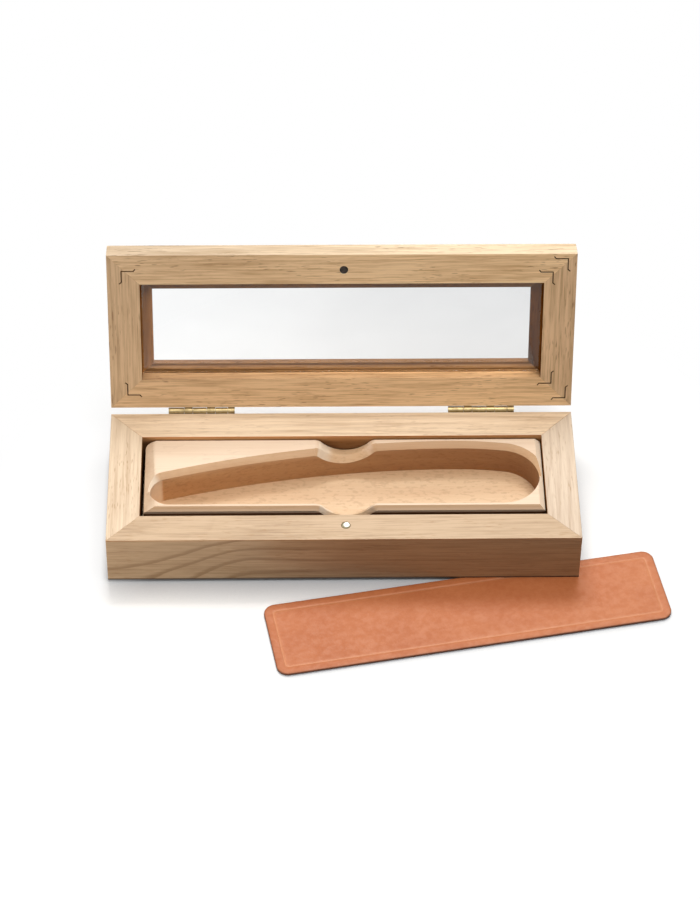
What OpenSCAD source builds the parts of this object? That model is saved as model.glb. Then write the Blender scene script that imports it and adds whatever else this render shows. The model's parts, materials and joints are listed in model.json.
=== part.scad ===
// Hinged oak display box for one straight razor: a mitred base and a glazed lid,
// a loose beech block with a razor-shaped pocket, and a leather strip that lies beside it.
// Millimetres, +Z up, +X along the length, +Y towards the hinges. The lid stands open.

/* [Box] */
// Outside length of the box
box_w = 208; // [190:1:230]
// Outside depth of the box, front to back
box_d = 76.4; // [72:0.2:90]
// Height of the base from its underside to its rim
base_h = 25.9; // [24:0.1:32]
// Width of the flat rim of base and lid
rim_w = 14.4; // [13:0.1:15]
// Thickness of the bottom panel
panel_t = 4; // [3:0.1:5]
// How far the bottom panel reaches into the rails
panel_seat = 5; // [3:0.1:7]

/* [Feet] */
// Height of the felt feet
foot_h = 1.6; // [1.5:0.1:3]
// Diameter of the felt feet
foot_d = 10; // [6:0.5:12]
// Distance of the front feet's middles from the front of the box
foot_setback = 18.2; // [17:0.1:24]

/* [Lid] */
// Height of the lid from its rim to its outer face
lid_h = 10.1; // [9.6:0.1:14]
// Width of the ledge that carries the glass
ledge_w = 5.1; // [3.5:0.1:7]
// Thickness of the ledge that carries the glass
ledge_t = 3.1; // [2.4:0.1:4]
// Thickness of the glass
glass_t = 2; // [1.5:0.1:3]
// Angle at which the lid stands open
lid_angle = 107.2; // [90:0.1:115]
// Gap between the two rims when the lid is shut
shut_gap = 0.15; // [0.1:0.01:0.3]

/* [Beech Block] */
// How much shorter the block is than the inside of the box
block_play_w = 1.9; // [1:0.1:4]
// How much narrower the block is than the inside of the box
block_play_d = 6.2; // [1.5:0.1:7]
// Gap between the block and the right rail
block_gap_right = 0.4; // [0.3:0.05:0.6]
// Gap between the block and the back rail
block_gap_back = 0.6; // [0.3:0.05:1]
// How far the block's top lies below the rim
block_drop = 1.8; // [1:0.1:3]
// Slope width of the chamfer on the left end
chamfer_left = 4.8; // [2:0.1:6]
// Slope width of the chamfer on the right end
chamfer_right = 2.4; // [1:0.1:4]
// Drop of the chamfers on both ends
chamfer_drop = 2.2; // [1:0.1:3]
// Width and drop of the chamfer on the front edge
chamfer_front = 1.7; // [1:0.1:2.4]

/* [Razor Pocket] */
// Depth of the pocket below the top of the block
pocket_depth = 16.2; // [10:0.1:17]
// Wall left between the pocket and the front of the block
wall_front = 2.7; // [2.5:0.1:4]
// Wall left between the pocket and the back of the block
wall_back = 3.4; // [2.9:0.1:5]
// Distance of the pocket from the left end of the block
wall_left = 2.5; // [2:0.1:6]
// Distance of the pocket from the right end of the block
wall_right = 1.5; // [1.4:0.1:6]
// Radius of the narrow end as a share of the pocket's width
tip_share = 0.25; // [0.18:0.005:0.34]
// Radius of the wide end as a share of the pocket's width
heel_share = 0.48; // [0.4:0.005:0.485]
// Radius of the curve that leads into the wide end
shoulder_r = 150; // [60:1:200]
// Width of the chamfer along the back of the pocket
pocket_chamfer = 2.4; // [1:0.1:2.8]

/* [Finger Notch] */
// Radius of the finger notch
notch_r = 13.9; // [10:0.1:18]
// Depth of the finger notch below the top of the block
notch_depth = 6.5; // [4:0.1:9]
// Radius of the rounded shoulders at both sides of the notch
notch_round = 4.3; // [3.6:0.1:5]
// Distance of the notch from the middle of the box
notch_x = 1.5; // [-5:0.1:5]

/* [Hinges] */
// Length of each hinge
hinge_len = 29.8; // [24:0.1:34]
// Distance of each hinge's middle from the end of the box
hinge_inset = 40.8; // [30:0.1:50]
// Outside radius of the hinge barrel
barrel_r = 1.45; // [1.3:0.01:1.8]
// Radius of the hinge pin
pin_r = 0.7; // [0.5:0.01:0.8]
// Thickness of the hinge leaves
leaf_t = 0.9; // [0.7:0.05:1]
// Height of each hinge leaf from the barrel's axis
leaf_h = 8.6; // [7.8:0.1:9.2]
// Distance of each hinge screw from the hinge's middle
screw_x = 9; // [7:0.1:10]
// Length of the hinge screws
screw_len = 8; // [5:0.1:10]

/* [Catch] */
// Diameter of the catch magnet in the base
magnet_d = 4; // [3:0.1:6]
// Diameter of the steel keeper in the lid
keeper_d = 3.7; // [3:0.1:6]
// Thickness of the magnet and of the keeper
catch_t = 2; // [1:0.1:3]
// Distance of the magnet and of the keeper from the middle of the box
catch_x = 0.8; // [-5:0.1:5]
// Distance of the magnet from the front of the box
magnet_inset = 8.3; // [6:0.1:9]
// Distance of the keeper from the front of the lid
keeper_inset = 7.5; // [6:0.1:9]

/* [Corner Nails] */
// Length of each wing of the corner nails
nail_wing = 5.6; // [4:0.1:7]
// Thickness of the corner nails
nail_t = 0.4; // [0.3:0.05:0.8]
// How deep the corner nails go in
nail_depth = 6.5; // [4:0.1:8]

/* [Leather Strip] */
// Length of the leather strip
strip_l = 176; // [120:1:190]
// Width of the leather strip
strip_w = 39.8; // [30:0.2:41]
// Thickness of the leather strip
strip_t = 1.4; // [1:0.05:1.45]
// Corner radius of the leather strip
strip_corner = 5; // [3:0.5:8]
// Distance of the strip's middle from the right side of the box
strip_side = 49.9; // [40:0.1:60]
// Distance of the strip's middle from the front of the box
strip_ahead = 19.4; // [18:0.1:40]
// Turn of the strip on the table
strip_turn = 10.3; // [5:0.1:12]

/* [Hidden] */
$fn = 96;
// Facets of the pocket's two wide arcs
fine = 1440;
// How far the pocket's end circles stand out past the arcs they meet
end_lap = 0.02;
// Clearance of a piece that is let into wood
let_in = 0.05;
// Clearance of the bottom panel in its rebate
panel_gap = 0.2;
// Clearance of the glass in its rebate
glass_gap = 0.5;
// Running clearance of the hinge pin
pin_gap = 0.05;
// Gap between neighbouring knuckles
knuckle_gap = 0.15;
// Gap between a leaf and the other leaf's knuckles
leaf_gap = 0.25;
// Gap between the barrel and the back of the box
barrel_gap = 0.3;
// Gap at the hinge's stop lug when the lid stands open
stop_gap = 0.05;
// How far the stop lug reaches out from the barrel's axis
stop_reach = 2.6;
// Shares of the hinge length at which one knuckle ends and the next begins
knuckle_ends = [0, 0.235, 0.366, 0.577, 0.708, 0.896, 1];
// Slack added where one solid is cut from another
cut = 1;
// How far the notch's chamfer is cut past the pocket's curved wall
notch_past = 0.5;

inner_w = box_w - 2 * rim_w;
inner_d = box_d - 2 * rim_w;
window_w = inner_w - 2 * ledge_w;
window_d = inner_d - 2 * ledge_w;
rim_z = foot_h + base_h;
lid_z = rim_z + shut_gap;
axis_y = box_d / 2 + barrel_gap + barrel_r;
axis_z = rim_z + shut_gap / 2;

block_x1 = inner_w / 2 - block_gap_right;
block_x0 = block_x1 - (inner_w - block_play_w);
block_y1 = inner_d / 2 - block_gap_back;
block_y0 = block_y1 - (inner_d - block_play_d);
block_z0 = foot_h + panel_t;
block_z1 = rim_z - block_drop;
block_corner = 3;

pocket_z = block_z1 - pocket_depth;
pocket_lip = block_z1 - pocket_chamfer;
pocket_top = block_z1 + cut;
pocket_x0 = block_x0 + wall_left;
pocket_x1 = block_x1 - wall_right;
pocket_y0 = block_y0 + wall_front;
pocket_y1 = block_y1 - wall_back;
pocket_d = pocket_y1 - pocket_y0;
tip_r = pocket_d * tip_share;
heel_r = pocket_d * heel_share;
tip_x = pocket_x0 + tip_r;
tip_y = pocket_y0 + tip_r;
heel_x = pocket_x1 - heel_r;
heel_y = pocket_y0 + heel_r;
crest_x = heel_x - sqrt((pocket_d - 2 * heel_r) * (2 * shoulder_r - pocket_d));
crest_run = crest_x - pocket_x0;
tip_run = crest_run - tip_r;
tip_rise = pocket_d - tip_r;
back_r = (tip_run * tip_run + tip_rise * tip_rise - tip_r * tip_r) / (2 * (tip_rise - tip_r));

notch_z = block_z1 + notch_r - notch_depth;
notch_reach = notch_r + notch_round;
notch_side = sqrt(notch_reach * notch_reach - (notch_reach - notch_depth) * (notch_reach - notch_depth));
notch_side_z = block_z1 - notch_round;
notch_turn = asin((crest_x - notch_x) / back_r);
notch_wall_y = pocket_y1 - back_r + back_r * cos(notch_turn);

nail_curl = 1.3;
nail_bend = 50;

hinge_x = box_w / 2 - hinge_inset;
screw_z = 5;
screw_head_r = 1.8;
screw_shank_r = 0.95;
screw_slot = 0.45;

foot_x = box_w / 2 - rim_w / 2;
foot_y_front = -box_d / 2 + foot_setback;
foot_y_back = box_d / 2 - rim_w / 2;

// Corner of the lid (right and back are positive), and the nail's distance from its two edges
nails = [
  [1, -1, 4, 2.4],
  [1, -1, 10.5, 9],
  [1, 1, 9.5, 11.5],
  [1, 1, 2.9, 4],
  [-1, -1, 6.4, 7.8],
  [-1, 1, 7.7, 6.5]
];

strip_x = box_w / 2 - strip_side;
strip_y = -box_d / 2 - strip_ahead;
strip_run_x = strip_l / 2 - strip_corner;
strip_run_y = strip_w / 2 - strip_corner;
strip_half_x = strip_run_x * cos(strip_turn) + strip_run_y * sin(strip_turn) + strip_corner;
strip_half_y = strip_run_x * sin(strip_turn) + strip_run_y * cos(strip_turn) + strip_corner;
lid_back_y = axis_y + (axis_y + box_d / 2) * -cos(lid_angle) + (lid_z + lid_h - axis_z) * sin(lid_angle);
origin_x = (max(strip_x + strip_half_x, box_w / 2) - box_w / 2) / 2;
origin_y = (lid_back_y + strip_y - strip_half_y) / 2;

oak = [0.86, 0.72, 0.53];
beech = [0.92, 0.79, 0.62];
brass = [0.80, 0.62, 0.28];
steel = [0.72, 0.72, 0.70];
dark_steel = [0.30, 0.26, 0.22];
felt = [0.20, 0.17, 0.15];
tan_leather = [0.80, 0.48, 0.30];
clear = [0.90, 0.95, 0.95, 0.4];

module placed() {
  translate([-origin_x, -origin_y, 0])
    children();
}

module opened() {
  translate([0, axis_y, axis_z])
    rotate([-lid_angle, 0, 0])
      translate([0, -axis_y, -axis_z])
        children();
}

module block_at(x0, x1, y0, y1, z0, z1) {
  translate([x0, y0, z0])
    cube([x1 - x0, y1 - y0, z1 - z0]);
}

module centred(w, d, z0, z1) {
  block_at(-w / 2, w / 2, -d / 2, d / 2, z0, z1);
}

// The wedge of the box that belongs to one rail, cut along the mitres.
// Side 0 is the front, 1 the right, 2 the back and 3 the left.
module mitre(side, z0, z1) {
  reach = rim_w + ledge_w + cut;
  turned = side % 2 == 1;
  long = turned ? box_d : box_w;
  deep = turned ? box_w : box_d;
  translate([0, 0, z0])
    rotate([0, 0, 90 * side])
      linear_extrude(height = z1 - z0)
        polygon([
          [-long / 2, -deep / 2],
          [long / 2, -deep / 2],
          [long / 2 - reach, -deep / 2 + reach],
          [-long / 2 + reach, -deep / 2 + reach]
        ]);
}

module hinge_pilots(z, reach) {
  for (side = [-1, 1], s = [-1, 1])
    translate([side * hinge_x + s * screw_x, box_d / 2 + cut, z])
      rotate([90, 0, 0])
        cylinder(h = reach + cut, r = screw_shank_r + let_in);
}

module base_frame() {
  difference() {
    centred(box_w, box_d, foot_h, rim_z);
    centred(inner_w, inner_d, foot_h - cut, rim_z + cut);
    centred(inner_w + 2 * panel_seat, inner_d + 2 * panel_seat, foot_h - cut, foot_h + panel_t);
    translate([catch_x, -box_d / 2 + magnet_inset, rim_z - catch_t])
      cylinder(h = catch_t + cut, r = magnet_d / 2 + let_in);
    hinge_pilots(axis_z - screw_z, screw_len);
  }
}

module base_rail(side) {
  color(oak)
    placed()
      intersection() {
        base_frame();
        mitre(side, foot_h - cut, rim_z + cut);
      }
}

module bottom_panel() {
  grip = 2 * (panel_seat - panel_gap);
  color(oak)
    placed()
      centred(inner_w + grip, inner_d + grip, foot_h, foot_h + panel_t);
}

module felt_feet() {
  color(felt)
    placed()
      for (side = [-1, 1], y = [foot_y_front, foot_y_back])
        translate([side * foot_x, y, 0])
          cylinder(h = foot_h, r = foot_d / 2);
}

module block_blank() {
  intersection() {
    translate([block_x0, 0, 0])
      rotate([90, 0, 90])
        linear_extrude(height = block_x1 - block_x0)
          polygon([
            [block_y0, block_z0],
            [block_y1, block_z0],
            [block_y1, block_z1],
            [block_y0 + chamfer_front, block_z1],
            [block_y0, block_z1 - chamfer_front]
          ]);
    translate([0, block_y1, 0])
      rotate([90, 0, 0])
        linear_extrude(height = block_y1 - block_y0)
          polygon([
            [block_x0, block_z0],
            [block_x1, block_z0],
            [block_x1, block_z1 - chamfer_drop],
            [block_x1 - chamfer_right, block_z1],
            [block_x0 + chamfer_left, block_z1],
            [block_x0, block_z1 - chamfer_drop]
          ]);
    union() {
      block_at(block_x0, block_x1, block_y0, block_y1 - block_corner, block_z0, block_z1);
      block_at(block_x0 + block_corner, block_x1, block_y0, block_y1, block_z0, block_z1);
      translate([block_x0 + block_corner, block_y1 - block_corner, block_z0])
        cylinder(h = block_z1 - block_z0, r = block_corner);
    }
  }
}

// One arc of the pocket's back edge, from start_x to the line through its centre and (x, y).
// Flare is how much wider it gets from z0 up to the top.
module pocket_arc(r, start_x, x, y, z0, flare) {
  meet_y = pocket_y1 + flare + cut;
  meet_x = x + (x - crest_x) * (meet_y - y) / (y - pocket_y1 + r);
  intersection() {
    translate([crest_x, pocket_y1 - r, z0])
      cylinder(h = pocket_top - z0, r1 = r, r2 = r + flare, $fn = fine);
    translate([0, 0, z0])
      linear_extrude(height = pocket_top - z0)
        polygon([[x, y], [meet_x, meet_y], [start_x, meet_y], [start_x, y]]);
  }
}

module pocket_back(z0, flare) {
  pocket_arc(back_r, crest_x, tip_x, tip_y, z0, flare);
  pocket_arc(shoulder_r, crest_x - tip_r, heel_x, heel_y, z0, flare);
}

module pocket_end(x, y, r, z0, flare) {
  translate([x, y, z0])
    cylinder(h = pocket_top - z0, r1 = r + end_lap, r2 = r + end_lap + flare);
}

// The chamfer around the back half of one end circle.
module pocket_end_rim(x, y, r) {
  intersection() {
    pocket_end(x, y, r, pocket_lip, pocket_top - pocket_lip);
    block_at(x - 2 * r, x + 2 * r, y, y + 2 * r, pocket_lip, pocket_top);
  }
}

module pocket() {
  pocket_back(pocket_z, 0);
  block_at(tip_x, heel_x, pocket_y0, tip_y + cut, pocket_z, pocket_top);
  block_at(crest_x - tip_r, heel_x, pocket_y0, heel_y + cut, pocket_z, pocket_top);
  pocket_end(tip_x, tip_y, tip_r, pocket_z, 0);
  pocket_end(heel_x, heel_y, heel_r, pocket_z, 0);
  pocket_back(pocket_lip, pocket_top - pocket_lip);
  pocket_end_rim(tip_x, tip_y, tip_r);
  pocket_end_rim(heel_x, heel_y, heel_r);
}

// The notch's outline, run towards the front over length. It widens by slope for each millimetre,
// while its rounded shoulders shrink by as much.
module notch_run(length, slope) {
  translate([0, notch_z, 0])
    cylinder(h = length, r1 = notch_r, r2 = notch_r + slope * length);
  difference() {
    linear_extrude(height = length)
      polygon([
        [0, notch_z],
        [-notch_side, notch_side_z],
        [-notch_side, notch_z],
        [notch_side, notch_z],
        [notch_side, notch_side_z]
      ]);
    for (side = [-1, 1])
      translate([side * notch_side, notch_side_z, -end_lap])
        cylinder(h = length + 2 * end_lap, r1 = notch_round + slope * end_lap,
                 r2 = notch_round - slope * (length + end_lap));
  }
}

module notch_at(y, turn, length, slope) {
  translate([notch_x, y, 0])
    rotate([90, 0, turn])
      notch_run(length, slope);
}

module finger_notch() {
  notch_at(block_y1 + cut, 0, block_y1 - block_y0 + 2 * cut, 0);
  notch_at(block_y0 + chamfer_front, 0, chamfer_front + cut, 1);
  notch_at(notch_wall_y + pocket_chamfer / cos(notch_turn), notch_turn, pocket_chamfer + notch_past, 1);
}

module razor_block() {
  color(beech)
    placed()
      difference() {
        block_blank();
        pocket();
        finger_notch();
      }
}

module nail_shape(slack) {
  half = nail_t / 2 + slack;
  for (turn = [0, 1])
    mirror([turn, -turn, 0]) {
      translate([-half, -half])
        square([nail_wing + half + slack, 2 * half]);
      translate([nail_wing - nail_t / 2, 0])
        rotate([0, 0, -nail_bend])
          translate([0, -half])
            square([nail_curl + slack, 2 * half]);
    }
}

// The corner nails stand across the mitres, flush with the lid's rim, and their ends bend outwards.
module corner_nails(slack) {
  for (n = nails)
    translate([n[0] * (box_w / 2 - n[2]), n[1] * (box_d / 2 - n[3]), lid_z - slack])
      mirror([n[0] > 0 ? 1 : 0, 0, 0])
        mirror([0, n[1] > 0 ? 1 : 0, 0])
          linear_extrude(height = nail_depth + 2 * slack)
            nail_shape(slack);
}

module lid_frame() {
  difference() {
    centred(box_w, box_d, lid_z, lid_z + lid_h);
    centred(inner_w, inner_d, lid_z - cut, lid_z + lid_h - ledge_t);
    centred(window_w, window_d, lid_z - cut, lid_z + lid_h + cut);
    translate([catch_x, -box_d / 2 + keeper_inset, lid_z - cut])
      cylinder(h = catch_t + cut, r = keeper_d / 2 + let_in);
    hinge_pilots(axis_z + screw_z, screw_len);
    corner_nails(let_in);
  }
}

module lid_rail(side) {
  color(oak)
    placed()
      opened()
        intersection() {
          lid_frame();
          mitre(side, lid_z - cut, lid_z + lid_h + cut);
        }
}

module lid_glass() {
  glass_z = lid_z + lid_h - ledge_t - glass_t;
  color(clear)
    placed()
      opened()
        centred(inner_w - 2 * glass_gap, inner_d - 2 * glass_gap, glass_z, glass_z + glass_t);
}

module lid_corner_nails() {
  color(dark_steel)
    placed()
      opened()
        corner_nails(0);
}

// A hinge leaf on the outside of the box, seen with the lid shut. Up is 1 for the lid and -1 for the base.
module leaf(x, up, first) {
  back = box_d / 2;
  near = barrel_r + leaf_gap;
  difference() {
    union() {
      translate([x - hinge_len / 2, back, up > 0 ? axis_z + near : axis_z - leaf_h])
        cube([hinge_len, leaf_t, leaf_h - near]);
      for (i = [first : 2 : 5]) {
        x0 = x - hinge_len / 2 + hinge_len * knuckle_ends[i] + (i > 0 ? knuckle_gap / 2 : 0);
        x1 = x - hinge_len / 2 + hinge_len * knuckle_ends[i + 1] - (i < 5 ? knuckle_gap / 2 : 0);
        translate([x0, axis_y, axis_z])
          rotate([0, 90, 0])
            cylinder(h = x1 - x0, r = barrel_r);
        translate([x0, back, up > 0 ? axis_z + shut_gap / 2 : axis_z - near - cut])
          cube([x1 - x0, leaf_t, near + cut - shut_gap / 2]);
      }
    }
    translate([x - hinge_len / 2 - cut, axis_y, axis_z])
      rotate([0, 90, 0])
        cylinder(h = hinge_len + 2 * cut, r = pin_r + pin_gap);
    for (s = [-1, 1])
      translate([x + s * screw_x, back, axis_z + up * screw_z])
        rotate([-90, 0, 0])
          cylinder(h = leaf_t, r1 = screw_shank_r + let_in, r2 = screw_head_r + let_in);
  }
}

// The lugs on the lid's knuckles that meet the base leaf when the lid stands open.
module stop_lugs(x) {
  for (i = [1, 3]) {
    x0 = x - hinge_len / 2 + hinge_len * knuckle_ends[i] + knuckle_gap;
    x1 = x - hinge_len / 2 + hinge_len * knuckle_ends[i + 1] - knuckle_gap;
    difference() {
      block_at(x0, x1, box_d / 2 + leaf_t + stop_gap, axis_y, axis_z - stop_reach, axis_z);
      translate([x0 - cut, axis_y, axis_z])
        rotate([0, 90, 0])
          cylinder(h = x1 - x0 + 2 * cut, r = pin_r + pin_gap);
    }
  }
}

module base_leaf(side) {
  color(brass)
    placed()
      leaf(side * hinge_x, -1, 0);
}

module lid_leaf(side) {
  color(brass)
    placed()
      union() {
        opened()
          leaf(side * hinge_x, 1, 1);
        stop_lugs(side * hinge_x);
      }
}

module hinge_pin(side) {
  color(brass)
    placed()
      translate([side * hinge_x - hinge_len / 2, axis_y, axis_z])
        rotate([0, 90, 0])
          cylinder(h = hinge_len, r = pin_r);
}

module hinge_screw() {
  tip = 1.5;
  difference() {
    union() {
      rotate([90, 0, 0])
        cylinder(h = leaf_t, r1 = screw_head_r, r2 = screw_shank_r);
      rotate([90, 0, 0])
        cylinder(h = screw_len - tip, r = screw_shank_r);
      translate([0, tip - screw_len, 0])
        rotate([90, 0, 0])
          cylinder(h = tip, r1 = screw_shank_r, r2 = 0.2);
    }
    block_at(-screw_head_r - cut, screw_head_r + cut, -screw_slot, cut, -screw_slot / 2, screw_slot / 2);
  }
}

module hinge_screws(z) {
  for (side = [-1, 1], s = [-1, 1])
    translate([side * hinge_x + s * screw_x, box_d / 2 + leaf_t, z])
      hinge_screw();
}

module base_hinge_screws() {
  color(brass)
    placed()
      hinge_screws(axis_z - screw_z);
}

module lid_hinge_screws() {
  color(brass)
    placed()
      opened()
        hinge_screws(axis_z + screw_z);
}

module catch_magnet() {
  color(steel)
    placed()
      translate([catch_x, -box_d / 2 + magnet_inset, rim_z - catch_t])
        cylinder(h = catch_t, r = magnet_d / 2);
}

module catch_keeper() {
  color(dark_steel)
    placed()
      opened()
        translate([catch_x, -box_d / 2 + keeper_inset, lid_z])
          cylinder(h = catch_t, r = keeper_d / 2);
}

module leather_strip() {
  color(tan_leather)
    placed()
      translate([strip_x, strip_y, 0])
        rotate([0, 0, strip_turn])
          union() {
            centred(strip_l, strip_w - 2 * strip_corner, 0, strip_t);
            centred(strip_l - 2 * strip_corner, strip_w, 0, strip_t);
            for (x = [-1, 1], y = [-1, 1])
              translate([x * (strip_l / 2 - strip_corner), y * (strip_w / 2 - strip_corner), 0])
                cylinder(h = strip_t, r = strip_corner);
          }
}

base_rail(0);  // base_rail_front
base_rail(1);  // base_rail_right
base_rail(2);  // base_rail_back
base_rail(3);  // base_rail_left
bottom_panel();
felt_feet();
razor_block();
lid_rail(0);  // lid_rail_front
lid_rail(1);  // lid_rail_right
lid_rail(2);  // lid_rail_back
lid_rail(3);  // lid_rail_left
lid_glass();
lid_corner_nails();
base_leaf(-1);  // hinge_left_base_leaf
lid_leaf(-1);  // hinge_left_lid_leaf
hinge_pin(-1);  // hinge_left_pin
base_leaf(1);  // hinge_right_base_leaf
lid_leaf(1);  // hinge_right_lid_leaf
hinge_pin(1);  // hinge_right_pin
base_hinge_screws();
lid_hinge_screws();
catch_magnet();
catch_keeper();
leather_strip();
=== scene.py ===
import json
import math

import bmesh
import bpy
from mathutils import Matrix, Vector


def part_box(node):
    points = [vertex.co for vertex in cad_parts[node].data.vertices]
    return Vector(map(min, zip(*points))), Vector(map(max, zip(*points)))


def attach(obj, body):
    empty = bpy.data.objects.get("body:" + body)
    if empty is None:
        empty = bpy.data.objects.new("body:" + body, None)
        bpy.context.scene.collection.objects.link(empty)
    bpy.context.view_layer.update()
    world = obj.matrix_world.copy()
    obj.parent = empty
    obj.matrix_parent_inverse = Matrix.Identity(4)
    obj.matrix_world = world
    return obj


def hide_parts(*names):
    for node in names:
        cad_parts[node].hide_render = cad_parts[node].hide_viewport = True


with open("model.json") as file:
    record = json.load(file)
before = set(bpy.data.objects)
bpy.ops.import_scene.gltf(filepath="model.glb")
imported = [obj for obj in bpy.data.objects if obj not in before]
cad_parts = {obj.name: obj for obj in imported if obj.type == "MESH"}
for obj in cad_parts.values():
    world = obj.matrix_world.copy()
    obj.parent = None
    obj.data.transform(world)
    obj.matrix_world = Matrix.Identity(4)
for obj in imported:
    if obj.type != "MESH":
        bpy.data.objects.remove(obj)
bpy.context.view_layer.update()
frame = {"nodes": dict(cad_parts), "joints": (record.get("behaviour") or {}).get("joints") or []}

MM = 0.001

# Where the lid turns, read from the frame
hinge_joint = next(j for j in frame["joints"] if j["name"] == "lid_hinge")
AXIS = Vector(hinge_joint["pos_m"])
LID_ANGLE = math.radians(hinge_joint["range_deg"][1])
SHUT_LID = Matrix.Translation(AXIS) @ Matrix.Rotation(LID_ANGLE, 4, "X") @ Matrix.Translation(-AXIS)

# Rails of the base and of the lid, and the way their grain runs
BASE_RAILS = {"base_rail_front": "x", "base_rail_back": "x", "base_rail_left": "y", "base_rail_right": "y"}
LID_RAILS = {"lid_rail_front": "x", "lid_rail_back": "x", "lid_rail_left": "y", "lid_rail_right": "y"}

# Colours of each rail: light wood, dark wood. They differ from rail to rail partly as the wood does
# and partly as painted light and shade, which evens out how the lamps fall on each rail
RAIL_COLOURS = {
    "base_rail_front": ((0.57, 0.393, 0.235), (0.355, 0.218, 0.112)),
    "base_rail_back": ((0.88, 0.670, 0.455), (0.62, 0.420, 0.252)),
    "base_rail_left": ((0.77, 0.595, 0.415), (0.53, 0.360, 0.218)),
    "base_rail_right": ((0.715, 0.567, 0.420), (0.50, 0.350, 0.235)),
    "lid_rail_front": ((0.90, 0.670, 0.425), (0.56, 0.368, 0.195)),
    "lid_rail_back": ((0.84, 0.600, 0.365), (0.52, 0.335, 0.175)),
    "lid_rail_left": ((0.655, 0.448, 0.262), (0.40, 0.250, 0.127)),
    "lid_rail_right": ((0.83, 0.568, 0.337), (0.50, 0.320, 0.165)),
}

# Painted shade inside the frames: on the base's inner walls and on the lid's rebate round the glass
HOLLOW_SHADES = {
    "base_rail_front": (0.52, 0.40, 0.30),
    "base_rail_back": (0.85, 0.72, 0.60),
    "base_rail_left": (0.52, 0.40, 0.30),
    "base_rail_right": (0.52, 0.40, 0.30),
    "lid_rail_front": (0.20, 0.12, 0.06),
    "lid_rail_back": (0.42, 0.325, 0.235),
    "lid_rail_left": (0.47, 0.29, 0.145),
    "lid_rail_right": (0.175, 0.085, 0.021),
}

# Width of a rail, in millimetres
RAIL_WIDTH = 14.4

# Each rail's grain starts this far on from the last one's, in millimetres
GRAIN_STEP = 137.0

# The leather strip lies turned on the table
STRIP_LENGTH = 176.0 * MM
STRIP_WIDTH = 39.8 * MM
STRIP_THICK = 1.4 * MM
STRIP_CORNER = 5.0 * MM
STRIP_TURN = math.radians(10.3)
CREASE_INSET = 3.9 * MM
CREASE_DEPTH = 0.16 * MM

# Across the pressed line: offset from its middle in millimetres, share of its depth, share of its painted
# pale highlight
CREASE_SHAPE = (
    (-0.7, 0, 0),
    (-0.42, 0.25, 0.3),
    (-0.2, 0.8, 0.7),
    (0, 1, 0.9),
    (0.2, 0.8, 1),
    (0.42, 0.25, 0.8),
    (0.8, 0, 0.15),
)

# The hinges: radius of the barrel in millimetres, thickness of a leaf, and the screws' places from
# the middle of the hinge
BARREL_RADIUS = 1.45
LEAF_THICK = 0.9 * MM
SCREW_SPREAD = 9.0 * MM
SCREW_DROP = 5.0 * MM

# Inputs of the screws' tree, in millimetres
SCREW_SIZES = {
    "Head Radius": 1.76,
    "Head Height": 0.9,
    "Shank Radius": 0.95,
    "Length": 8.0,
    "Slot Width": 0.5,
    "Slot Depth": 0.5,
}


# Nodes

class Nodes:
    """Short calls for the nodes of one tree. A value is a number, a tuple or another node's output."""

    def __init__(self, tree):
        self.tree = tree

    def put(self, socket, value):
        if isinstance(value, bpy.types.NodeSocket):
            self.tree.links.new(value, socket)
        elif isinstance(value, tuple) and socket.type == "RGBA" and len(value) == 3:
            socket.default_value = (*value, 1)
        else:
            socket.default_value = value

    def node(self, kind, values=None, **settings):
        """A new node. values go to its inputs, by name or number, and settings to its properties."""
        made = self.tree.nodes.new(kind)
        for key, value in settings.items():
            setattr(made, key, value)
        for key, value in (values or {}).items():
            self.put(made.inputs[key], value)
        return made

    def math(self, operation, *values):
        return self.node("ShaderNodeMath", dict(enumerate(values)), operation=operation).outputs[0]

    def vector(self, operation, *values):
        return self.node("ShaderNodeVectorMath", dict(enumerate(values)), operation=operation).outputs[0]

    def product(self, first, *others):
        for other in others:
            first = self.math("MULTIPLY", first, other)
        return first

    def total(self, first, *others):
        for other in others:
            first = self.math("ADD", first, other)
        return first

    def rest(self, share):
        """What a share leaves of 1."""
        return self.math("SUBTRACT", 1.0, share)

    def apart(self, value, place):
        """How far a value is from a place, on either side."""
        return self.math("ABSOLUTE", self.math("SUBTRACT", value, place))

    def split(self, vector):
        return self.node("ShaderNodeSeparateXYZ", {"Vector": vector}).outputs

    def length(self, vector):
        return self.node("ShaderNodeVectorMath", {0: vector}, operation="LENGTH").outputs["Value"]

    def span(self, value, low, high, to_low=0.0, to_high=1.0, smooth=True):
        """Goes from to_low to to_high while the value goes from low to high, and stays there past them."""
        made = self.node(
            "ShaderNodeMapRange",
            {"Value": value, "From Min": low, "From Max": high, "To Min": to_low, "To Max": to_high},
            interpolation_type="SMOOTHSTEP" if smooth else "LINEAR",
        )
        return made.outputs["Result"]

    def mix(self, share, a, b, blend="MIX"):
        made = self.node("ShaderNodeMix", {0: share, 6: a, 7: b}, data_type="RGBA", blend_type=blend)
        return made.outputs[2]

    def only_background(self, hidden, shown):
        """A strength that differs between what is seen against the light and what lights the object."""
        path = self.node("ShaderNodeLightPath").outputs
        seen = self.math("MAXIMUM", path["Is Camera Ray"], path["Is Glossy Ray"])
        seen = self.math("MAXIMUM", seen, path["Is Transmission Ray"])
        return self.span(seen, 0.0, 1.0, hidden, shown, smooth=False)


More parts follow.
